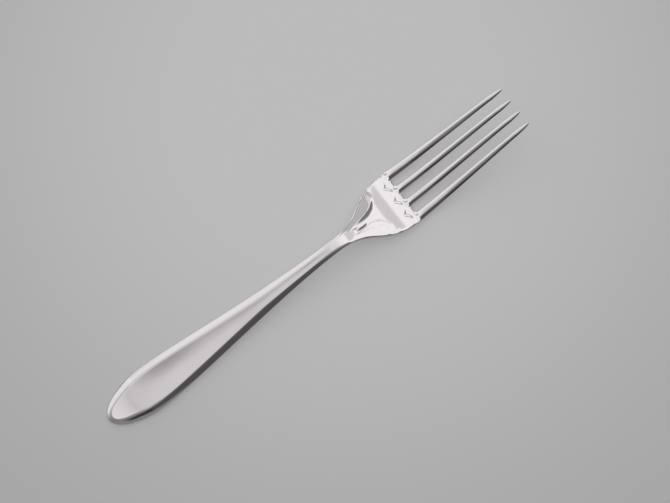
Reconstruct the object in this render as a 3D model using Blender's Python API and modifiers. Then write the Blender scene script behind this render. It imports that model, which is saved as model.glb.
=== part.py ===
"""Dessert fork with four tines, made of one piece of steel.

The fork lies face up along X, from the end of its handle to the tips of its tines,
with its origin on the table under the middle of its length. It rests on the flat back
of the handle's end and on the belly of its head.

The steps follow the making of a real one: a blank is cut to the plan outline, the slots
between the tines are pierced, and the sheet is rolled to its thickness and pressed to
its side profile, with the dished panel, the trough of the head and the rounded tines
struck in.
"""

import bmesh
import bpy
import numpy as np

MM = 0.001

# Lengths along the fork
HANDLE_LENGTH = 101.0 * MM
SHOULDER_LENGTH = 27.0 * MM
ROOT_LENGTH = 2.3 * MM
TINE_LENGTH = 49.7 * MM
WIDEST_FROM_END = 19.0 * MM
REST_FROM_END = 30.0 * MM
BELLY_PAST_SLOT_ENDS = 0.7 * MM
POINT_LENGTH = 7.0 * MM

# Widths across the fork
HANDLE_WIDTH = 16.3 * MM
NECK_WIDTH = 4.7 * MM
INNER_TINE_WIDTH = 2.65 * MM
OUTER_TINE_WIDTH = 3.2 * MM
SLOT_WIDTH = 3.3 * MM
TINE_END_WIDTH = 1.6 * MM
TIP_WIDTH = 0.45 * MM
TIP_PITCH = 5.1 * MM

# Heights of the back above the table, and thicknesses of the metal
END_RISE = 0.1 * MM
NECK_RISE = 3.8 * MM
TIP_RISE = 13.0 * MM
TIP_SLOPE = 0.24
END_THICKNESS = 2.2 * MM
HANDLE_THICKNESS = 2.5 * MM
NECK_THICKNESS = 3.0 * MM
ROOT_THICKNESS = 2.1 * MM
TINE_END_THICKNESS = 1.15 * MM
TIP_THICKNESS = 0.5 * MM

# Forms struck into the face and the back
BEVEL_WIDTH = 2.3 * MM
BEVEL_SHARE_OF_NECK = 0.56
BEVEL_SLOPE = 0.5
BEVEL_ROUNDING = 0.4
HEAD_BEVEL_WIDTH = 0.6 * MM
HEAD_BEVEL_SLOPE = 0.25
BEVEL_FADE_START = 4.0 * MM
BEVEL_FADE_END = 8.0 * MM
PANEL_DISH = 0.45 * MM
DISH_START = 6.0 * MM
DISH_FULL = 24.0 * MM
BACK_CROWN = 0.6 * MM
HEAD_BACK_CROWN = 0.2 * MM
FLAT_SHARE_OF_BACK = 0.66
TROUGH_DEPTH = 0.5 * MM
TROUGH_FROM_NECK = 6.5 * MM
TROUGH_LENGTH = 15.0 * MM
TROUGH_DEEPEST = 0.7
TROUGH_FLARE = 0.29
THROAT_WIDTH = 0.8 * MM
WALL_WIDTH = 0.8 * MM
WALL_FLARE = 0.07
FLANK_FALL = 0.1
FLANK_RUN_IN = 3.0 * MM
FLANK_RUN_OUT = 2.0 * MM
GROOVE_DEPTH = 0.26 * MM
GROOVE_LENGTH = 4.5 * MM
TINE_ROUNDNESS = 0.3
ROUNDING_RUN_IN = 4.0 * MM
FLAT_SHARE_OF_TINE = 0.56

# Reach of each drawn curve's tangents, as the handles of a drawn spline
END_ROUNDING = 4.0 * MM
END_REACH = 11.0 * MM
WIDEST_REACH = 13.0 * MM
NECK_REACH_BACK = 28.0 * MM
SHOULDER_REACH = 13.0 * MM
RISE_REACH = 28.0 * MM
FALL_REACH = 12.2 * MM
BELLY_REACH_BACK = 16.2 * MM
BELLY_REACH = 15.0 * MM
TIP_REACH = 17.0 * MM

# Cage: columns from the middle outwards, and rows along each stretch
SLOT_LINES = (0, 5)
INNER_TINE_LINES = (1, 4)
OUTER_TINE_LINES = (6, 9)
LINES_ACROSS_PANEL = (0.0, 0.35, 0.68)
LINES_ABOUT_CREST = (-0.2, -0.06, 0.09, 0.3, 0.55, 0.8, 1.0)
COLUMNS_EACH_SIDE = 9
HANDLE_ROWS = 14
HEAD_ROWS = 13
TINE_ROWS = 11
END_ROW_CROWDING = 1.9
END_HALF_WIDTH = 5.2 * MM
END_FADE = 16.0 * MM
SLOT_END_LAND = 1.4 * MM
SMOOTHING_LEVELS = 1

STEEL_COLOUR = (0.80, 0.79, 0.78, 1.0)
STEEL_ROUGHNESS = 0.12

SHOULDER_END = HANDLE_LENGTH + SHOULDER_LENGTH
SLOT_END = SHOULDER_END + ROOT_LENGTH
LENGTH = SLOT_END + TINE_LENGTH
INNER_TINE_AT_ROOT = (SLOT_WIDTH + INNER_TINE_WIDTH) / 2
OUTER_TINE_AT_ROOT = 1.5 * SLOT_WIDTH + INNER_TINE_WIDTH + OUTER_TINE_WIDTH / 2
HEAD_WIDTH = 2 * OUTER_TINE_AT_ROOT + OUTER_TINE_WIDTH
LAST_ROW = HANDLE_ROWS + HEAD_ROWS + TINE_ROWS
SLOT_ROW = HANDLE_ROWS + HEAD_ROWS


def bezier_span(start, start_reach, end, end_reach, points=400):
    """Points on one drawn span between two knots, whose tangent handles are the reaches."""
    u = np.linspace(0, 1, points)[:, None]
    start, end = np.array(start), np.array(end)
    first, last = start + np.array(start_reach), end - np.array(end_reach)
    near = (1 - u) ** 3 * start + 3 * (1 - u) ** 2 * u * first
    return near + 3 * (1 - u) * u**2 * last + u**3 * end


def smooth(value, low, high):
    """An even step from 0 at low to 1 at high."""
    t = min(max((value - low) / (high - low), 0), 1)
    return t * t * (3 - 2 * t)


def between(a, b, share):
    return a + (b - a) * share


# Plan outline: the half width at each place along the fork, up to the ends of the slots
ROUND_END = bezier_span((0, 0), (0, END_ROUNDING), (WIDEST_FROM_END, HANDLE_WIDTH / 2), (END_REACH, 0))
OUTLINE = np.concatenate(
    [
        ROUND_END,
        bezier_span(
            (WIDEST_FROM_END, HANDLE_WIDTH / 2), (WIDEST_REACH, 0),
            (HANDLE_LENGTH, NECK_WIDTH / 2), (NECK_REACH_BACK, 0),
        )[1:],
        bezier_span(
            (HANDLE_LENGTH, NECK_WIDTH / 2), (SHOULDER_REACH, 0),
            (SHOULDER_END, HEAD_WIDTH / 2), (SHOULDER_REACH, 0),
        )[1:],
    ]
)

# Side profile: the height of the back along the middle of the fork
BELLY = SLOT_END + BELLY_PAST_SLOT_ENDS
PROFILE = np.concatenate(
    [
        [(0, END_RISE)],
        bezier_span((REST_FROM_END, 0), (RISE_REACH, 0), (HANDLE_LENGTH, NECK_RISE), (RISE_REACH / 2, 0)),
        bezier_span((HANDLE_LENGTH, NECK_RISE), (FALL_REACH, 0), (BELLY, 0), (BELLY_REACH_BACK, 0))[1:],
        bezier_span(
            (BELLY, 0), (BELLY_REACH, 0),
            (LENGTH, TIP_RISE), (TIP_REACH, TIP_REACH * TIP_SLOPE),
        )[1:],
    ]
)

# Thickness of the metal along the middle of the fork
POINT_START = LENGTH - POINT_LENGTH
GAUGE = np.array(
    [
        (0, END_THICKNESS),
        (WIDEST_FROM_END, HANDLE_THICKNESS),
        (HANDLE_LENGTH, NECK_THICKNESS),
        (SHOULDER_END, ROOT_THICKNESS),
        (POINT_START, TINE_END_THICKNESS),
        (LENGTH, TIP_THICKNESS),
    ]
)


def half_width(x):
    return float(np.interp(x, OUTLINE[:, 0], OUTLINE[:, 1]))


def end_distance(half):
    """How far from the handle's end its round end reaches this half width."""
    return float(np.interp(half, ROUND_END[:, 1], ROUND_END[:, 0]))


def inset(x, y):
    """Distance in plan from a place to the fork's outline."""
    nearest = np.hypot(OUTLINE[:, 0] - x, OUTLINE[:, 1] - y).min()
    return min(float(nearest), half_width(x) - y)


def head_share(x):
    """0 on the handle, rising to 1 where the bevel has faded out on the head."""
    return smooth(x, HANDLE_LENGTH - BEVEL_FADE_START, HANDLE_LENGTH + BEVEL_FADE_END)


def bevel_width(x):
    """Even round the handle, narrower along the neck, and slight on the head."""
    narrow = x > WIDEST_FROM_END
    on_handle = min(BEVEL_WIDTH, BEVEL_SHARE_OF_NECK * half_width(x)) if narrow else BEVEL_WIDTH
    return between(on_handle, HEAD_BEVEL_WIDTH, head_share(x))


def back_height(x):
    return float(np.interp(x, PROFILE[:, 0], PROFILE[:, 1]))


def thickness(x):
    return float(np.interp(x, GAUGE[:, 0], GAUGE[:, 1]))


def tine_lines(x):
    """Places across the fork of the lines that bound the tines and the slots, middle outwards."""
    along = max((x - SLOT_END) / TINE_LENGTH, 0)
    point = max((x - POINT_START) / POINT_LENGTH, 0) ** 3
    body = min((x - SLOT_END) / (POINT_START - SLOT_END), 1) if along else 0
    lines = [0.0]
    roots = (
        (INNER_TINE_AT_ROOT, INNER_TINE_WIDTH, TIP_PITCH / 2),
        (OUTER_TINE_AT_ROOT, OUTER_TINE_WIDTH, TIP_PITCH * 1.5),
    )
    for at_root, width_at_root, at_tip in roots:
        middle = between(at_root, at_tip, along)
        half = between(width_at_root, TINE_END_WIDTH, body) / 2
        half = between(half, TIP_WIDTH / 2, point)
        flat = half * FLAT_SHARE_OF_TINE
        if len(lines) > 1:
            lines.append((lines[-1] + middle - half) / 2)
        lines += [middle - half, middle - flat, middle + flat, middle + half]
    return lines


def panel_lines(x):
    """Places across the handle of lines that follow the panel's crest and the bevel outside it."""
    bevel = bevel_width(x)
    crest = half_width(x) - bevel
    across_panel = [crest * share for share in LINES_ACROSS_PANEL]
    return across_panel + [crest + bevel * share for share in LINES_ABOUT_CREST]


def column_lines(x):
    """Places across the fork of the cage's lines at this place along it, middle outwards."""
    if x >= SLOT_END:
        return tine_lines(x)
    to_tines = smooth(x, HANDLE_LENGTH, SHOULDER_END - GROOVE_LENGTH)
    root = tine_lines(SLOT_END)
    scale = half_width(x) / root[-1]
    return [between(line, tine_line * scale, to_tines) for line, tine_line in zip(panel_lines(x), root)]


def row_station(row):
    """How far along the fork a row lies, at the middle of the fork."""
    if row <= HANDLE_ROWS:
        return HANDLE_LENGTH * (row / HANDLE_ROWS) ** END_ROW_CROWDING
    if row < SLOT_ROW:
        share = (row - HANDLE_ROWS) / (HEAD_ROWS - 1)
        return between(HANDLE_LENGTH, SLOT_END - SLOT_END_LAND, share)
    share = (row - SLOT_ROW) / TINE_ROWS
    return SLOT_END + TINE_LENGTH * (1 - np.cos(np.pi * share)) / 2


def plan_place(row, column):
    """Where a cage point lies in plan. Rows near the handle's end bend to follow its round outline."""
    station = row_station(row)
    bend = max(1 - station / END_FADE, 0)
    edge_x = station + bend * end_distance(END_HALF_WIDTH)
    y = column_lines(edge_x)[abs(column)]
    if bend:
        station += bend * end_distance(END_HALF_WIDTH * y / half_width(edge_x))
    return station, y


def trough_rise(x, y):
    """How far the sheet rises beside the trough of the head, less the fall of the flanks outside it."""
    start = HANDLE_LENGTH + TROUGH_FROM_NECK
    end = start + TROUGH_LENGTH
    deepest = between(start, end, TROUGH_DEEPEST)
    depth = TROUGH_DEPTH * smooth(x, start, deepest) * (1 - smooth(x, deepest, end))
    along = max(x - start, 0)
    foot = THROAT_WIDTH / 2 + TROUGH_FLARE * along
    top = foot + WALL_WIDTH + WALL_FLARE * along
    on_flank = smooth(x, start - FLANK_RUN_IN, start + FLANK_RUN_IN)
    on_flank *= 1 - smooth(x, deepest, end + FLANK_RUN_OUT)
    return depth * smooth(y, foot, top) - FLANK_FALL * max(y - top, 0) * on_flank


def tine_drop(x, column):
    """How far the edges of a tine, and the groove behind a slot, lie below the middle of the tine."""
    on_edge = column in INNER_TINE_LINES + OUTER_TINE_LINES
    if not on_edge and column not in SLOT_LINES:
        return 0
    groove = GROOVE_DEPTH * smooth(x, SLOT_END - GROOVE_LENGTH, SLOT_END)
    return between(groove, TINE_ROUNDNESS * thickness(x), smooth(x, SLOT_END, SLOT_END + ROUNDING_RUN_IN))


def nearness(distance, width):
    """1 on the outline, falling to 0 at this width inside it."""
    return max(1 - distance / width, 0) if width > 0 else 1


def face_height(x, y, column):
    """Height of the face: a dished panel and its bevel on the handle, a trough and rounded tines beyond."""
    ridge = back_height(x) + thickness(x) + trough_rise(x, y)
    if x >= SLOT_END:
        return ridge - tine_drop(x, column)
    bevel = bevel_width(x)
    down = nearness(inset(x, y), bevel)
    slope = between(BEVEL_SLOPE, HEAD_BEVEL_SLOPE, head_share(x))
    drop = slope * bevel * between(down, down**2, BEVEL_ROUNDING)
    crest = half_width(x) - bevel
    if down == 0 and y < crest:
        depth = PANEL_DISH * crest / (HANDLE_WIDTH / 2 - BEVEL_WIDTH) * smooth(x, DISH_START, DISH_FULL)
        drop = depth * (1 - (y / crest) ** 2) * (1 - head_share(x))
    return ridge - max(drop, tine_drop(x, column))


def back_rise(x, y, column):
    """Height of the back: flat along the middle, and rounded up towards every edge."""
    if x >= SLOT_END:
        return back_height(x) + trough_rise(x, y) + tine_drop(x, column)
    near_edge = nearness(inset(x, y), half_width(x) * (1 - FLAT_SHARE_OF_BACK))
    crown = between(BACK_CROWN, HEAD_BACK_CROWN, head_share(x)) * near_edge**2
    return back_height(x) + trough_rise(x, y) + max(crown, tine_drop(x, column))


def cut_blank(shape):
    """The blank: a flat grid whose points know their row along the fork and their column across it."""
    bmesh.ops.create_grid(shape, x_segments=LAST_ROW, y_segments=2 * COLUMNS_EACH_SIDE, size=1)
    row_of = shape.verts.layers.int.new("row")
    column_of = shape.verts.layers.int.new("column")
    for point in shape.verts:
        point[row_of] = round((point.co.x + 1) / 2 * LAST_ROW)
        point[column_of] = round(point.co.y * COLUMNS_EACH_SIDE)
    return row_of, column_of


def pierce_slots(shape, row_of, column_of):
    """Takes out the faces between the tines."""
    waste = []
    for face in shape.faces:
        middle = abs(sum(point[column_of] for point in face.verts)) / 4
        between_tines = middle < INNER_TINE_LINES[0] or INNER_TINE_LINES[1] < middle < OUTER_TINE_LINES[0]
        if between_tines and min(point[row_of] for point in face.verts) >= SLOT_ROW:
            waste.append(face)
    bmesh.ops.delete(shape, geom=waste, context="FACES")


def press_to_form(shape, row_of, column_of):
    """Gives the sheet its back, then sets the face and the back to their heights."""
    face_points = set(shape.verts)
    bmesh.ops.extrude_face_region(shape, geom=shape.faces[:])
    for point in shape.verts:
        column = point[column_of]
        x, y = plan_place(point[row_of], column)
        height = face_height if point in face_points else back_rise
        point.co = (x, np.copysign(y, column), height(x, y, abs(column)))
    bmesh.ops.recalc_face_normals(shape, faces=shape.faces[:])


def polished_steel():
    steel = bpy.data.materials.new("polished_steel")
    steel.use_nodes = True
    shader = steel.node_tree.nodes["Principled BSDF"]
    shader.inputs["Base Color"].default_value = STEEL_COLOUR
    shader.inputs["Metallic"].default_value = 1.0
    shader.inputs["Roughness"].default_value = STEEL_ROUGHNESS
    return steel


def make_fork(collection):
    shape = bmesh.new()
    row_of, column_of = cut_blank(shape)
    pierce_slots(shape, row_of, column_of)
    press_to_form(shape, row_of, column_of)
    mesh = bpy.data.meshes.new("fork")
    shape.to_mesh(mesh)
    shape.free()
    mesh.shade_smooth()
    mesh.materials.append(polished_steel())
    fork = bpy.data.objects.new("fork", mesh)
    fork.location.x = -LENGTH / 2
    polish = fork.modifiers.new("polish", "SUBSURF")
    polish.levels = SMOOTHING_LEVELS
    polish.render_levels = SMOOTHING_LEVELS
    collection.objects.link(fork)


for old in list(bpy.data.objects):
    bpy.data.objects.remove(old)

fork_collection = bpy.data.collections.new("dessert_fork")
bpy.context.scene.collection.children.link(fork_collection)
make_fork(fork_collection)
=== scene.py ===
from math import radians

import bmesh
import bpy
import numpy as np
from mathutils import Matrix, Vector


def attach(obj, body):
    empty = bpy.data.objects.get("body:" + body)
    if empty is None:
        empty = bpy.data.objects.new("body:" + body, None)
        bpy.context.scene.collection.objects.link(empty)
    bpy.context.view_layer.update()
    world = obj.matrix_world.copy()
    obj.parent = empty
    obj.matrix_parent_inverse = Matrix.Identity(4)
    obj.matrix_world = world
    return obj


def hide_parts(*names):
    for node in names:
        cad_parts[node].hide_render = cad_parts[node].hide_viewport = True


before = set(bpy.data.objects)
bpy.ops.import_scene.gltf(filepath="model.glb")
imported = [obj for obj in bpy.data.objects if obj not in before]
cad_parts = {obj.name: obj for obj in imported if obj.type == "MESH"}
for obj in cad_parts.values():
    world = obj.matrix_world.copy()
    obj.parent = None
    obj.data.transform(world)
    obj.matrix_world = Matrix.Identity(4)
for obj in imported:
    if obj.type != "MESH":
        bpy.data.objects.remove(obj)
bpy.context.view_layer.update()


# The fork's blank
# One flat piece is cut from stainless steel sheet that is rolled thinner towards the tines,
# and the slots between the four tines are pierced through it.
MM = 0.001
LENGTH = 180.0 * MM
CREST = 99.0 * MM
NECK = 101.0 * MM
SHOULDER = 128.0 * MM
SLOT_END = 130.3 * MM
BELLY = 131.0 * MM
POINT = 173.0 * MM
WIDEST = 19.0 * MM
HANDLE_HALF = 8.15 * MM
NECK_HALF = 2.35 * MM
SLOT = 3.1 * MM
INNER_TINE = 2.8 * MM
OUTER_TINE = 3.4 * MM
TINE_NEAR_POINT = 1.85 * MM
TINE_TIP = 0.5 * MM
TIP_PITCH = 5.1 * MM
SLOT_CORNER = 0.6 * MM
SLOT_CORNER_REACH = 4.0 * MM
BEVEL = 2.3 * MM
BEVEL_AT_END = 1.3 * MM
BEVEL_RUN_IN = 10.0 * MM
BEVEL_SHARE_OF_NECK = 0.56
HEAD_BEVEL = 0.6 * MM
HEAD_BEVEL_FROM = NECK - 4 * MM
HEAD_BEVEL_FULL = NECK + 8 * MM
ROUND_END_HALF = 5.2 * MM
ROUND_END_FADE = 16.0 * MM
INNER_TINE_AT = (SLOT + INNER_TINE) / 2
OUTER_TINE_AT = 1.5 * SLOT + INNER_TINE + OUTER_TINE / 2
HEAD_HALF = OUTER_TINE_AT + OUTER_TINE / 2

HALF_SLOT_COLUMNS = 3
SLOT_COLUMNS = 6
TINE_COLUMNS = 8
COLUMNS = HALF_SLOT_COLUMNS + SLOT_COLUMNS + 2 * TINE_COLUMNS
OUTER_SLOT = HALF_SLOT_COLUMNS + TINE_COLUMNS
PANEL_SHARES = np.array((0, 0.11, 0.22, 0.33, 0.44, 0.54, 0.64, 0.73, 0.81, 0.88, 0.94, 0.975, 0.995))
BEVEL_SHARES = np.array((0.015, 0.05, 0.1, 0.16, 0.24, 0.33, 0.43, 0.54, 0.66, 0.78, 0.88, 0.95, 1))
HANDLE_ROWS = 64
HEAD_ROWS = 64
TINE_ROWS = 44
SLOT_ROW = HANDLE_ROWS + HEAD_ROWS
LAST_ROW = SLOT_ROW + TINE_ROWS
HANDLE_ROW_CROWDING = 1.7
HEAD_ROW_CROWDING = 1.3
TINE_ROW_CROWDING = 2.6
HEAD_COLUMNS_FROM = NECK - 15 * MM
HEAD_COLUMNS_FULL = SHOULDER - 8 * MM


def drawn_span(start, start_reach, end, end_reach, points=1200):
    """Points of one drawn span between two knots, whose tangents are the reaches."""
    u = np.linspace(0, 1, points)[:, None]
    start, end = np.array(start), np.array(end)
    first, last = start + np.array(start_reach), end - np.array(end_reach)
    near = (1 - u) ** 3 * start + 3 * (1 - u) ** 2 * u * first
    return near + 3 * (1 - u) * u**2 * last + u**3 * end


def even_step(value, low, high):
    t = np.clip((value - low) / (high - low), 0, 1)
    return t * t * (3 - 2 * t)


def between(a, b, share):
    return a + (b - a) * share


round_end = drawn_span((0, 0), (0, 4.0 * MM), (WIDEST, HANDLE_HALF), (11.0 * MM, 0))
to_neck = drawn_span((WIDEST, HANDLE_HALF), (13.0 * MM, 0), (NECK, NECK_HALF), (28.0 * MM, 0))
to_head = drawn_span((NECK, NECK_HALF), (13.0 * MM, 0), (SHOULDER, HEAD_HALF), (13.0 * MM, 0))
outline = np.concatenate([round_end, to_neck[1:], to_head[1:], [(LENGTH, HEAD_HALF)]])


def half_width(x):
    return np.interp(x, outline[:, 0], outline[:, 1])


def round_end_at(half):
    """How far along the fork its round end reaches this half width."""
    return np.interp(half, round_end[:, 1], round_end[:, 0])


def bevel_width(x):
    on_end = between(BEVEL_AT_END, BEVEL, even_step(x, 0, BEVEL_RUN_IN))
    on_handle = np.where(x < WIDEST, on_end, np.minimum(BEVEL, BEVEL_SHARE_OF_NECK * half_width(x)))
    return between(on_handle, HEAD_BEVEL, even_step(x, HEAD_BEVEL_FROM, HEAD_BEVEL_FULL))


# The panel keeps a bevel of nearly even width outside it, also round the end of the handle.
run = np.gradient(round_end, axis=0)
run /= np.linalg.norm(run, axis=1)[:, None]
inwards = np.stack([run[:, 1], -run[:, 0]], axis=1)
panel_end = round_end + bevel_width(round_end[:, 0])[:, None] * inwards
panel_end = panel_end[panel_end[:, 1] >= 0]


def panel_half(x):
    round_part = np.interp(x, panel_end[:, 0], panel_end[:, 1], left=0)
    return np.where(x < WIDEST, round_part, half_width(x) - bevel_width(x))


def inset_from_outline(places):
    """Distance in plan from each place to the fork's outline."""
    start, along = outline[:-1], np.diff(outline, axis=0)
    to_place = places[:, None, :] - start
    share = np.clip((to_place * along).sum(2) / (along**2).sum(1), 0, 1)
    return np.linalg.norm(to_place - share[..., None] * along, axis=2).min(1)


LEAN_ACROSS_TINE = np.sin(np.linspace(-np.pi / 2, np.pi / 2, TINE_COLUMNS + 1))


def tine_lines(x):
    """Lines along the edges of the tines and between them, from the middle slot outwards."""
    along = np.clip((x - SLOT_END) / (LENGTH - SLOT_END), 0, 1)
    body = np.clip((x - SLOT_END) / (POINT - SLOT_END), 0, 1)
    point = np.clip((x - POINT) / (LENGTH - POINT), 0, 1) ** 3
    tines = []
    inner, outer = (INNER_TINE_AT, INNER_TINE, 0.5), (OUTER_TINE_AT, OUTER_TINE, 1.5)
    for root_at, root_width, pitches in (inner, outer):
        width = between(between(root_width, TINE_NEAR_POINT, body), TINE_TIP, point)
        tines.append(between(root_at, pitches * TIP_PITCH, along) + LEAN_ACROSS_TINE * width / 2)
    half_slot = np.linspace(0, tines[0][0], HALF_SLOT_COLUMNS + 1)[:-1]
    slot = np.linspace(tines[0][-1], tines[1][0], SLOT_COLUMNS + 1)[1:-1]
    return np.concatenate([half_slot, tines[0], slot, tines[1]])


# How far each line lies from the middle of its tine: 1 at the tine's edge, 2 in the middle of a slot.
OFF_TINE = np.concatenate(
    [
        np.linspace(2, 1, HALF_SLOT_COLUMNS + 1)[:-1],
        abs(LEAN_ACROSS_TINE),
        2 - abs(np.linspace(-1, 1, SLOT_COLUMNS + 1))[1:-1],
        abs(LEAN_ACROSS_TINE),
    ]
)


def column_lines(x):
    """Where the blank's columns lie across the fork at this place along it, middle outwards."""
    if x >= SLOT_END:
        return tine_lines(x)
    panel = panel_half(x)
    bevel_lines = panel + (half_width(x) - panel) * BEVEL_SHARES
    handle_lines = np.concatenate([panel * PANEL_SHARES, bevel_lines])
    head_lines = tine_lines(SLOT_END) * half_width(x) / HEAD_HALF
    return between(handle_lines, head_lines, even_step(x, HEAD_COLUMNS_FROM, HEAD_COLUMNS_FULL))


def row_station(row):
    if row <= HANDLE_ROWS:
        return NECK * (row / HANDLE_ROWS) ** HANDLE_ROW_CROWDING
    if row <= SLOT_ROW:
        return between(SLOT_END, NECK, ((SLOT_ROW - row) / HEAD_ROWS) ** HEAD_ROW_CROWDING)
    share = (row - SLOT_ROW) / TINE_ROWS
    return between(SLOT_END, LENGTH, share - np.sin(2 * np.pi * share) / (TINE_ROW_CROWDING * np.pi))


def plan_row(row):
    """Places of one row of the blank, middle outwards. Rows near the end follow its round outline."""
    station = row_station(row)
    bend = max(1 - station / ROUND_END_FADE, 0)
    edge_x = station + bend * round_end_at(ROUND_END_HALF)
    across = column_lines(edge_x)
    along = np.full(COLUMNS + 1, station)
    if bend:
        along += bend * round_end_at(ROUND_END_HALF * across / half_width(edge_x))
    past_corner = even_step(abs(station - SLOT_END), SLOT_CORNER_REACH, 0)
    along += SLOT_CORNER * past_corner * np.clip(2 - OFF_TINE, 0, 1) ** 3
    return np.stack([along, across], axis=1)


# The height of the back along the fork, and the thickness of the metal before it is struck.
PROFILE = np.concatenate(
    [
        drawn_span((0, 0.1 * MM), (10 * MM, -0.033 * MM), (30 * MM, 0), (10 * MM, 0)),
        drawn_span((30 * MM, 0), (28 * MM, 0), (CREST, 3.8 * MM), (18 * MM, 0))[1:],
        drawn_span((CREST, 3.8 * MM), (12.8 * MM, 0), (BELLY, 0), (15.8 * MM, 0))[1:],
        drawn_span((BELLY, 0), (15 * MM, 0), (LENGTH, 13 * MM), (17 * MM, 17 * 0.24 * MM))[1:],
    ]
)
GAUGE = np.concatenate(
    [
        drawn_span((0, 1.48 * MM), (3.5 * MM, 0.273 * MM), (11 * MM, 2.29 * MM), (3.5 * MM, 0.245 * MM)),
        drawn_span((11 * MM, 2.29 * MM), (2 * MM, 0.14 * MM), (17 * MM, 2.5 * MM), (2 * MM, 0))[1:],
        drawn_span((17 * MM, 2.5 * MM), (0.7 * MM, 0), (WIDEST, 2.5 * MM), (0.7 * MM, 0))[1:],
        drawn_span((WIDEST, 2.5 * MM), (25 * MM, 0.125 * MM), (NECK, 3.0 * MM), (20 * MM, 0))[1:],
        drawn_span((NECK, 3.0 * MM), (8 * MM, 0), (SHOULDER, 2.1 * MM), (8 * MM, -0.17 * MM))[1:],
        drawn_span(
            (SHOULDER, 2.1 * MM), (15 * MM, -0.319 * MM), (POINT, 1.15 * MM), (6 * MM, -0.2 * MM)
        )[1:],
        drawn_span((POINT, 1.15 * MM), (3 * MM, -0.1 * MM), (LENGTH, 0.5 * MM), (1 * MM, -0.2 * MM))[1:],
    ]
)

plan = np.array([plan_row(row) for row in range(LAST_ROW + 1)])
inset = np.array([inset_from_outline(row) for row in plan])
sheet = bmesh.new()
bmesh.ops.create_grid(sheet, x_segments=LAST_ROW, y_segments=2 * COLUMNS, size=1)
row_of = sheet.verts.layers.int.new("row")
column_of = sheet.verts.layers.int.new("column")
on_face = sheet.verts.layers.float.new("on_face")
for point in sheet.verts:
    point[row_of] = round((point.co.x + 1) / 2 * LAST_ROW)
    point[column_of] = round(point.co.y * COLUMNS)


def in_slot(face):
    column = abs(sum(point[column_of] for point in face.verts)) / 4
    past_end = min(point[row_of] for point in face.verts) >= SLOT_ROW
    return past_end and (column < HALF_SLOT_COLUMNS or 0 < column - OUTER_SLOT < SLOT_COLUMNS)


bmesh.ops.delete(sheet, geom=[face for face in sheet.faces if in_slot(face)], context="FACES")
face_side = set(sheet.verts)
bmesh.ops.extrude_face_region(sheet, geom=sheet.faces[:])
for point in sheet.verts:
    x, y = plan[point[row_of], abs(point[column_of])]
    point[on_face] = 1.0 if point in face_side else 0.0
    height = np.interp(x, GAUGE[:, 0], GAUGE[:, 1]) if point[on_face] else 0
    point.co = (x, np.copysign(y, point[column_of]), height)
bmesh.ops.recalc_face_normals(sheet, faces=sheet.faces[:])
blank_mesh = bpy.data.meshes.new("blank")
sheet.to_mesh(blank_mesh)
sheet.free()


def number_points(name, values):
    """Writes one number for each point of the blank, for the press to read."""
    numbers = blank_mesh.attributes.new(name, "FLOAT", "POINT")
    numbers.data.foreach_set("value", np.asarray(values, np.float32))


rows = [item.value for item in blank_mesh.attributes["row"].data]
columns = [abs(item.value) for item in blank_mesh.attributes["column"].data]
stations = plan[rows, columns, 0]
number_points("inset", inset[rows, columns])
number_points("bevel", bevel_width(stations))
number_points("panel", panel_half(stations))
number_points("half", half_width(stations))
number_points("off_tine", OFF_TINE[columns])
number_points("rise", np.interp(stations, PROFILE[:, 0], PROFILE[:, 1]))
number_points("gauge", np.interp(stations, GAUGE[:, 0], GAUGE[:, 1]))
blank = bpy.data.objects.new("blank", blank_mesh)
bpy.context.scene.collection.objects.link(blank)

# The press
# Dies bend the blank to its side profile and strike the dished panel, its bevel, the trough, the
# grooves behind the slots and the rounded tines. Each input is a size of a die.
press = bpy.data.node_groups.new("press", "GeometryNodeTree")
press.interface.new_socket("Blank", in_out="INPUT", socket_type="NodeSocketGeometry")
press.interface.new_socket("Fork", in_out="OUTPUT", socket_type="NodeSocketGeometry")
die_sizes = {
    "Head start": NECK - 14 * MM,
    "Head full": NECK + 1 * MM,
    "Tines start": SLOT_END - 1.3 * MM,
    "Tines full": SLOT_END + 0.7 * MM,
    "Bevel slope": 0.42,
    "Head bevel slope": 0.22,
    "Crest rounding": 0.34,
    "Edge rounding": 0.5,
    "Edge slope": 0.2,
    "End rounding": 0.85,
    "End slope": 0.55,
    "End length": 45 * MM,
    "Full share of end": 0.2,
    "Panel dish": 0.45 * MM,
    "Widest panel": HANDLE_HALF - BEVEL,
    "Panel dish start": 9 * MM,
    "Panel dish full": 29 * MM,
    "Panel dish last full": NECK - 13 * MM,
    "Panel dish end": NECK - 2 * MM,
    "Back crown": 0.6 * MM,
    "End back crown": 0.3 * MM,
    "Back crown start": 2 * MM,
    "Back crown full": 25 * MM,
    "Head back crown": 0.2 * MM,
    "Flat share of back": 0.66,
    "Trough depth": 0.38 * MM,
    "Trough start": 107.5 * MM,
    "Trough deep from": 116.0 * MM,
    "Trough deep to": 118.2 * MM,
    "Trough end": 121.6 * MM,
    "Trough half width": 1.2 * MM,
    "Trough flare": 0.2,
    "Trough late flare": 7 * MM,
    "Trough flare growth": 44.0,
    "Trough wall slope": 0.3,
    "Least trough wall": 0.3 * MM,
    "Flank fall": 0.1,
    "Flank run-in": 3 * MM,
    "Flank last full": 1 * MM,
    "Flank run-out": 2 * MM,
    "Tine roundness": 0.3,
    "Tine gable": 1.75,
    "Root flat": 0.38,
    "Root section end": SLOT_END + 1 * MM,
    "Round section start": SLOT_END + 13 * MM,
    "Groove depth": 0.23 * MM,
    "Groove length": 3.5 * MM,
    "Groove spread": 1.9 * MM,
    "Groove last full": SLOT_END + 1 * MM,
    "Groove end": SLOT_END + 4 * MM,
    "Tongue height": 0.25 * MM,
    "Tongue half width": 0.9 * MM,
    "Tongue start": 108.0 * MM,
    "Tongue end": 114.5 * MM,
    "Tongue run-out": 2 * MM,
}
for name in die_sizes:
    press.interface.new_socket(name, in_out="INPUT", socket_type="NodeSocketFloat")
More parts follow.
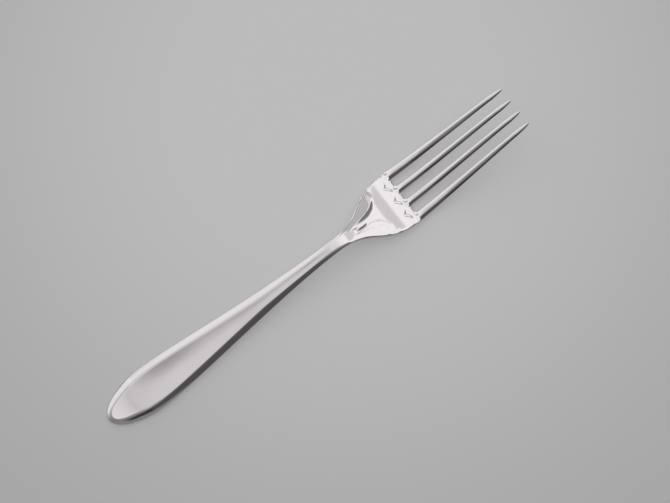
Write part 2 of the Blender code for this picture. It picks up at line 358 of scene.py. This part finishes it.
press.interface.new_socket("Steel", in_out="INPUT", socket_type="NodeSocketMaterial")
dies = press.nodes.new("NodeGroupInput")
formed = press.nodes.new("NodeGroupOutput")


class Field:
    """A number at every point, worked out by math nodes in the tree that its socket belongs to."""

    def __init__(self, socket):
        self.socket = socket

    def __add__(self, other):
        return calc("ADD", self, other)

    def __radd__(self, other):
        return calc("ADD", other, self)

    def __sub__(self, other):
        return calc("SUBTRACT", self, other)

    def __rsub__(self, other):
        return calc("SUBTRACT", other, self)

    def __mul__(self, other):
        return calc("MULTIPLY", self, other)

    def __rmul__(self, other):
        return calc("MULTIPLY", other, self)

    def __truediv__(self, other):
        return calc("DIVIDE", self, other)

    def __pow__(self, other):
        return calc("POWER", self, other)


def fill(socket, value):
    if isinstance(value, Field):
        socket.id_data.links.new(value.socket, socket)
    else:
        socket.default_value = value


def add_node(kind, values):
    tree = next(value.socket.id_data for value in values if isinstance(value, Field))
    return tree.nodes.new(kind)


def calc(operation, *values):
    node = add_node("ShaderNodeMath", values)
    node.operation = operation
    for socket, value in zip(node.inputs, values):
        fill(socket, value)
    return Field(node.outputs[0])


def step(value, low, high):
    """An even step from 0 at low to 1 at high."""
    node = add_node("ShaderNodeMapRange", (value,))
    node.interpolation_type = "SMOOTHSTEP"
    for name, number in (("Value", value), ("From Min", low), ("From Max", high)):
        fill(node.inputs[name], number)
    return Field(node.outputs["Result"])


def share(value):
    """The value kept between 0 and 1."""
    return calc("MINIMUM", calc("MAXIMUM", value, 0), 1)


def blend(a, b, part):
    return a + (b - a) * part


def die(name):
    return Field(dies.outputs[name])


def numbered(name):
    node = press.nodes.new("GeometryNodeInputNamedAttribute")
    node.data_type = "FLOAT"
    node.inputs["Name"].default_value = name
    return Field(node.outputs["Attribute"])


where = press.nodes.new("ShaderNodeSeparateXYZ")
press.links.new(press.nodes.new("GeometryNodeInputPosition").outputs["Position"], where.inputs["Vector"])
x = Field(where.outputs["X"])
y = calc("ABSOLUTE", Field(where.outputs["Y"]))
gauge = numbered("gauge")
rise = numbered("rise")
half = numbered("half")
off_tine = numbered("off_tine")
on_head = step(x, die("Head start"), die("Head full"))
on_tines = step(x, die("Tines start"), die("Tines full"))

# The bevel falls away outside the panel's rounded crest, and is rounded again at its outer edge.
down = 1 - numbered("inset") / numbered("bevel")
rounding = die("Crest rounding")
round_crest = calc("MINIMUM", calc("MAXIMUM", down + rounding, 0), 2 * rounding)
below_crest = calc("MAXIMUM", down - rounding, 0)
bevel_slope = round_crest * round_crest / (4 * rounding) + below_crest
on_end = step(x, die("End length"), die("Full share of end") * die("End length"))
edge_rounding = blend(die("Edge rounding"), die("End rounding"), on_end)
near_arris = share((down - 1) / edge_rounding + 1)
edge_slope = blend(die("Edge slope"), die("End slope"), on_end)
arris_drop = edge_slope * edge_rounding / 2 * near_arris * near_arris
slope_here = blend(die("Bevel slope"), die("Head bevel slope"), on_head)
bevel_drop = numbered("bevel") * (slope_here * bevel_slope + arris_drop) * (1 - on_tines)

# The panel is a shallow dish inside the crest, shallower where the handle is narrow and at its end.
LEAST_PANEL = 0.01 * MM
panel = numbered("panel")
to_crest = share(y / calc("MAXIMUM", panel, LEAST_PANEL))
dished = step(x, die("Panel dish start"), die("Panel dish full"))
dished = dished * step(x, die("Panel dish end"), die("Panel dish last full"))
dish = die("Panel dish") * panel / die("Widest panel") * dished
panel_drop = dish * (1 - to_crest * to_crest)

# A trough opens from the neck into the head. Its floor curves up to a sharp brow, and the flanks
# fall away outside it.
past_start = calc("MAXIMUM", x - die("Trough start"), 0)
depth = die("Trough depth") * step(x, die("Trough start"), die("Trough deep from"))
depth = depth * step(x, die("Trough end"), die("Trough deep to"))
late_flare = calc("MAXIMUM", past_start - die("Trough late flare"), 0)
brow = die("Trough half width") + die("Trough flare") * past_start
brow = brow + die("Trough flare growth") * late_flare * late_flare
wall_width = calc("MAXIMUM", 2 * depth / die("Trough wall slope"), die("Least trough wall"))
up_wall = share((y - brow) / wall_width + 1)
flank_start = die("Trough start") - die("Flank run-in")
flank_full = die("Trough start") + die("Flank run-in")
flank_last_full = die("Trough deep to") - die("Flank last full")
flank_end = die("Trough end") + die("Flank run-out")
on_shoulder = step(x, flank_start, flank_full) * step(x, flank_end, flank_last_full)
flank_drop = die("Flank fall") * calc("MAXIMUM", y - brow, 0) * on_shoulder
trough_rise = depth * up_wall * up_wall - flank_drop

# The neck's ridge runs out in the trough as a short tongue.
tongue = share(1 - (y / die("Tongue half width")) ** 2) ** 2
tongue_length = step(x, die("Tongue start"), die("Tongue start") + die("Tongue run-out"))
tongue_length = tongue_length * step(x, die("Tongue end"), die("Tongue end") - die("Tongue run-out"))
tongue_rise = die("Tongue height") * tongue * tongue_length

# Each tine is rounded across, with a flat top and slanted sides at its root. A pointed groove runs out
# behind each slot.
LEAST_GROOVE = 0.001
root_section = share((off_tine - die("Root flat")) / (1 - die("Root flat")))
tine_section = share(off_tine) ** die("Tine gable")
past_root = step(x, die("Root section end"), die("Round section start"))
tine_section = blend(root_section, tine_section, past_root)
tine_round = die("Tine roundness") * gauge * tine_section * on_tines
past_vertex = (x - SLOT_END) / die("Groove length") + 1
groove_foot = 2 - share(past_vertex)
groove_brow = share(1 - past_vertex * die("Groove length") / die("Groove spread")) * 2
in_groove = share((off_tine - groove_brow) / calc("MAXIMUM", groove_foot - groove_brow, LEAST_GROOVE))
groove = die("Groove depth") * in_groove * step(x, die("Groove end"), die("Groove last full"))
tine_drop = calc("MAXIMUM", tine_round, groove * calc("GREATER_THAN", past_vertex, 0))

# The back is crowned towards its edges, and follows the trough and the tines of the face.
near_edge = share(1 - numbered("inset") / (half * (1 - die("Flat share of back"))))
crowned = step(x, die("Back crown start"), die("Back crown full"))
handle_crown = blend(die("End back crown"), die("Back crown"), crowned)
back_crown = blend(handle_crown, die("Head back crown"), on_head) * near_edge**2 * (1 - on_tines)
back = rise + trough_rise + calc("MAXIMUM", back_crown, tine_round)
front = rise + gauge + trough_rise + tongue_rise - calc("MAXIMUM", bevel_drop + panel_drop, tine_drop)
height = blend(back, front, numbered("on_face"))

place = press.nodes.new("ShaderNodeCombineXYZ")
press.links.new(where.outputs["X"], place.inputs["X"])
press.links.new(where.outputs["Y"], place.inputs["Y"])
press.links.new(height.socket, place.inputs["Z"])
strike = press.nodes.new("GeometryNodeSetPosition")
press.links.new(dies.outputs["Blank"], strike.inputs["Geometry"])
press.links.new(place.outputs["Vector"], strike.inputs["Position"])
smooth_over = press.nodes.new("GeometryNodeSubdivisionSurface")
smooth_over.inputs["Level"].default_value = 1
shade = press.nodes.new("GeometryNodeSetShadeSmooth")
realize = press.nodes.new("GeometryNodeRealizeInstances")
finish = press.nodes.new("GeometryNodeSetMaterial")
for before, after in ((strike, smooth_over), (smooth_over, shade), (shade, realize), (realize, finish)):
    press.links.new(before.outputs[0], after.inputs[0])
press.links.new(dies.outputs["Steel"], finish.inputs["Material"])
press.links.new(finish.outputs["Geometry"], formed.inputs["Fork"])

# The polish
# Mirror-polished stainless steel, slightly warm, with the fine hairlines that washing leaves.
STEEL_COLOUR = (0.580, 0.546, 0.557, 1)
WORN_COLOUR = (0.560, 0.531, 0.541, 1)
LEAST_ROUGHNESS = 0.05
MOST_ROUGHNESS = 0.09
HAIRLINES_PER_METRE = (160, 7000, 7000)
CLOUDS_PER_METRE = 90
HAIRLINE_HEIGHT = 0.0002 * MM
HAIRLINE_LIMITS = (0.35, 0.75)
CLOUD_LIMITS = (0.35, 0.65)
HAIRLINE_SHARE = 0.55
steel = bpy.data.materials.new("polished_steel")
steel.use_nodes = True
polish = steel.node_tree
shader = polish.nodes["Principled BSDF"]
shader.inputs["Metallic"].default_value = 1
steel_place = polish.nodes.new("ShaderNodeTexCoord")
along_fork = polish.nodes.new("ShaderNodeMapping")
along_fork.inputs["Scale"].default_value = HAIRLINES_PER_METRE
polish.links.new(steel_place.outputs["Object"], along_fork.inputs["Vector"])
hairlines = polish.nodes.new("ShaderNodeTexNoise")
hairlines.inputs["Scale"].default_value = 1
hairlines.inputs["Detail"].default_value = 3
polish.links.new(along_fork.outputs["Vector"], hairlines.inputs["Vector"])
clouds = polish.nodes.new("ShaderNodeTexNoise")
clouds.inputs["Scale"].default_value = CLOUDS_PER_METRE
clouds.inputs["Detail"].default_value = 4
polish.links.new(steel_place.outputs["Object"], clouds.inputs["Vector"])
line_here = step(Field(hairlines.outputs["Fac"]), *HAIRLINE_LIMITS)
cloud_here = step(Field(clouds.outputs["Fac"]), *CLOUD_LIMITS)
wear = blend(cloud_here, line_here, HAIRLINE_SHARE)
fill(shader.inputs["Roughness"], blend(LEAST_ROUGHNESS, MOST_ROUGHNESS, wear))
tint = polish.nodes.new("ShaderNodeMix")
tint.data_type = "RGBA"
fill(tint.inputs["Factor"], wear)
tint.inputs[6].default_value = STEEL_COLOUR
tint.inputs[7].default_value = WORN_COLOUR
polish.links.new(tint.outputs[2], shader.inputs["Base Color"])
scratch = polish.nodes.new("ShaderNodeBump")
scratch.inputs["Strength"].default_value = 1
scratch.inputs["Distance"].default_value = HAIRLINE_HEIGHT
polish.links.new(hairlines.outputs["Fac"], scratch.inputs["Height"])
polish.links.new(scratch.outputs["Normal"], shader.inputs["Normal"])

pressing = blank.modifiers.new("press", "NODES")
pressing.node_group = press
for socket in press.interface.items_tree:
    if socket.name in die_sizes:
        pressing[socket.identifier] = die_sizes[socket.name]
    if socket.name == "Steel":
        pressing[socket.identifier] = steel
evaluated = blank.evaluated_get(bpy.context.evaluated_depsgraph_get())
fork_mesh = bpy.data.meshes.new_from_object(evaluated)
fork_mesh.transform(Matrix.Translation((-LENGTH / 2, 0, 0)))
bpy.data.objects.remove(blank)
fork_skin = bpy.data.objects.new("fork_skin", fork_mesh)
bpy.context.scene.collection.objects.link(fork_skin)
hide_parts("fork")
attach(fork_skin, "root")


# The table
# A plain pale grey sheet under the fork, large enough to meet the horizon in a low view. A painted pool
# of light makes it palest beside the head, and it glows with painted light so that its tone and the weak
# shadow match the photo.
# Floor colours inside and outside a painted pool of light; the step between them is painted light.
FLOOR_COLOUR_IN_PAINTED_LIGHT_POOL = (0.348, 0.348, 0.348, 1)
FLOOR_COLOUR_OUTSIDE_PAINTED_LIGHT_POOL = (0.267, 0.267, 0.267, 1)
FLOOR_RADIUS = 4
FLOOR_BELOW_FORK = 0.05 * MM
FLOOR_ROUGHNESS = 0.9
FLOOR_SHEEN = 0.1
# The floor glows with painted light, which lightens the fork's shadow on it.
PAINTED_FLOOR_GLOW = 0.7
# Centre and reach of the painted pool of light on the floor.
PAINTED_LIGHT_POOL_AT = (0.0416, 0.0408, 0)
PAINTED_LIGHT_POOL_RADIUS = 0.04
PAINTED_LIGHT_POOL_FADE_TO = 0.2
disc = bmesh.new()
bmesh.ops.create_circle(disc, cap_ends=True, segments=96, radius=FLOOR_RADIUS)
floor_mesh = bpy.data.meshes.new("floor")
disc.to_mesh(floor_mesh)
disc.free()
floor = bpy.data.objects.new("floor", floor_mesh)
floor_mesh.transform(Matrix.Translation((0, 0, -FLOOR_BELOW_FORK)))
bpy.context.scene.collection.objects.link(floor)
paper = bpy.data.materials.new("pale_floor_painted_light")
paper.use_nodes = True
paper_shader = paper.node_tree.nodes["Principled BSDF"]
paper_shader.inputs["Roughness"].default_value = FLOOR_ROUGHNESS
paper_shader.inputs["Specular IOR Level"].default_value = FLOOR_SHEEN
distance = paper.node_tree.nodes.new("ShaderNodeVectorMath")
distance.operation = "DISTANCE"
distance.inputs[1].default_value = PAINTED_LIGHT_POOL_AT
paper_place = paper.node_tree.nodes.new("ShaderNodeTexCoord")
paper.node_tree.links.new(paper_place.outputs["Object"], distance.inputs[0])
painted_light_falloff = paper.node_tree.nodes.new("ShaderNodeMix")
painted_light_falloff.data_type = "RGBA"
# The floor's colour darkens away from the painted pool of light.
off_painted_light_pool = step(Field(distance.outputs["Value"]), PAINTED_LIGHT_POOL_RADIUS, PAINTED_LIGHT_POOL_FADE_TO)
fill(painted_light_falloff.inputs["Factor"], off_painted_light_pool)
painted_light_falloff.inputs[6].default_value = FLOOR_COLOUR_IN_PAINTED_LIGHT_POOL
painted_light_falloff.inputs[7].default_value = FLOOR_COLOUR_OUTSIDE_PAINTED_LIGHT_POOL
paper.node_tree.links.new(painted_light_falloff.outputs[2], paper_shader.inputs["Base Color"])
# The floor's glow is painted light in the floor's own colour.
paper.node_tree.links.new(painted_light_falloff.outputs[2], paper_shader.inputs["Emission Color"])
paper_shader.inputs["Emission Strength"].default_value = PAINTED_FLOOR_GLOW
floor_mesh.materials.append(paper)


# The studio light
# A wide soft box hangs over the fork and beyond it. A brighter one hangs past the tips, with dim gaps.
# The near side is left dark but for a low pale wall, and a dim card stands on the far side.
LIGHT_OVER_HANDLE = (
    (-1.00, 0.09), (-0.60, 0.10), (-0.42, 0.13), (-0.25, 0.30), (-0.10, 0.47), (-0.03, 0.53),
    (0.04, 0.66), (0.10, 0.77), (0.18, 0.83), (0.35, 0.84), (0.55, 0.90), (0.70, 1.03),
    (0.80, 1.07), (0.90, 1.04), (1.00, 0.95),
)
LIGHT_OVER_TINES = (
    (-1.00, 0.04), (-0.75, 0.04), (-0.60, 0.045), (-0.45, 0.11), (-0.30, 0.25), (-0.10, 0.36),
    (0.10, 0.45), (0.25, 0.55), (0.40, 0.70), (0.60, 0.90), (0.75, 1.12), (0.88, 1.25), (1.00, 1.15),
)
TINE_LIGHT_FROM = -0.13
TINE_LIGHT_FULL = -0.21
MID_HANDLE_LIFT = 0.25
END_BOX_LEVEL = 0.97
FAR_SIDE_LEVEL = 1.04
TINE_TOP_DIMMING = 0.74
TIP_HALF_LIFT = 0.12
TIP_BOX_LEVEL = 1.2
TIP_BOX_SHADE = 0.2
SHADE_LEANS_FROM = 0.6
SHADE_LEAN = 1.2
GAP_DIMMING = 0.68
FLANK_GAP_DIMMING = 0.52
FURTHER_GAP_DIMMING = 0.72
FAR_CARD_DIMMING = 0.45
NEAR_WALL_LEVEL = 0.29
BACKGROUND_LEVEL = 0.32
LIGHT_STRENGTH = 1.25
world = bpy.data.worlds.new("studio")
bpy.context.scene.world = world
world.use_nodes = True
room = world.node_tree
sky = room.nodes.new("ShaderNodeSeparateXYZ")
room.links.new(room.nodes.new("ShaderNodeTexCoord").outputs["Generated"], sky.inputs["Vector"])
tipward, farward, upward = [Field(sky.outputs[axis]) for axis in "XYZ"]


def light_across(levels):
    """Light level from the near side of the room to the far side."""
    ramp = room.nodes.new("ShaderNodeValToRGB")
    fill(ramp.inputs["Fac"], (farward + 1) * 0.5)
    stops = ramp.color_ramp.elements
    while len(stops) < len(levels):
        stops.new(0.5)
    for stop, (where_to, level) in zip(stops, levels):
        stop.position = (where_to + 1) / 2
        stop.color = (level, level, level, 1)
    return Field(ramp.outputs["Color"])


def inside(value, start, full, last_full, end):
    """1 between full and last_full, running out to 0 at start and end."""
    return step(value, start, full) * step(value, end, last_full)


def patch(along, across):
    """1 over one patch of the room, with its limits along the fork and across it."""
    return inside(tipward, *along) * inside(farward, *across)


# The part of the room past the end of the handle shows in the tines, so it has levels of its own. A
# bright patch in it shows at the end of the handle.
mid_handle = step(tipward, -0.04, -0.12) * inside(farward, -0.3, -0.15, -0.05, 0.1)
over_handle = light_across(LIGHT_OVER_HANDLE) * (1 + MID_HANDLE_LIFT * mid_handle)
light = blend(over_handle, light_across(LIGHT_OVER_TINES), step(tipward, TINE_LIGHT_FROM, TINE_LIGHT_FULL))
end_box = patch((-0.32, -0.26, -0.19, -0.155), (-0.02, 0.06, 0.20, 0.30))
light = blend(light, END_BOX_LEVEL, end_box)
far_side = step(tipward, -0.16, -0.22) * step(farward, 0.62, 0.75)
light = blend(light, FAR_SIDE_LEVEL, far_side)
tine_tops = step(tipward, -0.32, -0.40) * inside(farward, -0.3, -0.1, 0.42, 0.62)
light = light * blend(1, TINE_TOP_DIMMING, tine_tops)
tip_half = step(tipward, 0.045, 0.075) * inside(farward, -0.15, 0.05, 0.4, 0.6)
light = light + TIP_HALF_LIFT * tip_half

# The box past the tips reaches nearer over the roots of the tines than over the neck. Its near side is
# shaded, and the gaps in it show on the head.
nearer = inside(tipward, 0.22, 0.30, 0.50, 0.56) * step(farward, -0.52, -0.30)
beyond = calc("MAXIMUM", nearer, step(tipward, 0.5, 0.56))
tip_box = calc("MAXIMUM", step(farward, -0.3, -0.12), beyond) * step(tipward, 0.03, 0.3)
light = blend(light, TIP_BOX_LEVEL, tip_box)
turned = farward - SHADE_LEAN * calc("MAXIMUM", tipward - SHADE_LEANS_FROM, 0)
shaded = blend(TIP_BOX_SHADE, 1, step(turned, -0.20, -0.02))
light = light * blend(1, shaded, step(tipward, 0.50, 0.53))
gap = patch((0.335, 0.35, 0.445, 0.465), (0.03, 0.06, 0.12, 0.16))
gap_over_flank = patch((0.345, 0.36, 0.53, 0.56), (0.13, 0.18, 0.33, 0.37))
further_gap = patch((0.53, 0.56, 0.66, 0.72), (0.18, 0.21, 0.26, 0.30))
far_card = patch((0.17, 0.26, 0.42, 0.47), (0.33, 0.38, 0.70, 0.78))
light = light * blend(1, GAP_DIMMING, gap)
light = light * blend(1, FLANK_GAP_DIMMING, gap_over_flank)
light = light * blend(1, FURTHER_GAP_DIMMING, further_gap)
light = light * blend(1, FAR_CARD_DIMMING, far_card)

# A pale wall stands low on the near side, and higher past the end of the handle.
near_wall = calc("MAXIMUM", step(upward, 0.56, 0.34), step(tipward, -0.33, -0.5))
near_wall = near_wall * step(farward, -0.2, -0.5)
light = blend(light, NEAR_WALL_LEVEL, near_wall)
seen = Field(room.nodes.new("ShaderNodeLightPath").outputs["Is Camera Ray"])
light = blend(light, BACKGROUND_LEVEL, seen)
background = room.nodes["Background"]
background.inputs["Color"].default_value = (1, 1, 1, 1)
fill(background.inputs["Strength"], light * LIGHT_STRENGTH)


# The camera
# It looks down on the fork, 8 degrees off upright, from the near side of the table.
CAMERA_TILT = radians(8)
CAMERA_TURN = radians(37.547)
CAMERA_DISTANCE = 0.71036
LOOK_AT = Vector((0.00931, -0.00086, 0))
FOCAL_LENGTH_PIXELS = 2000
PHOTO_WIDTH_PIXELS = 670
camera = bpy.data.cameras.new("camera")
camera.sensor_width = 36
camera.lens = camera.sensor_width * FOCAL_LENGTH_PIXELS / PHOTO_WIDTH_PIXELS
camera.clip_start = 0.01
viewer = bpy.data.objects.new("camera", camera)
viewer.rotation_euler = (CAMERA_TILT, 0, -CAMERA_TURN)
viewer.location = LOOK_AT + CAMERA_DISTANCE * (viewer.rotation_euler.to_matrix() @ Vector((0, 0, 1)))
bpy.context.scene.collection.objects.link(viewer)
bpy.context.scene.camera = viewer
bpy.context.scene.view_settings.view_transform = "Standard"
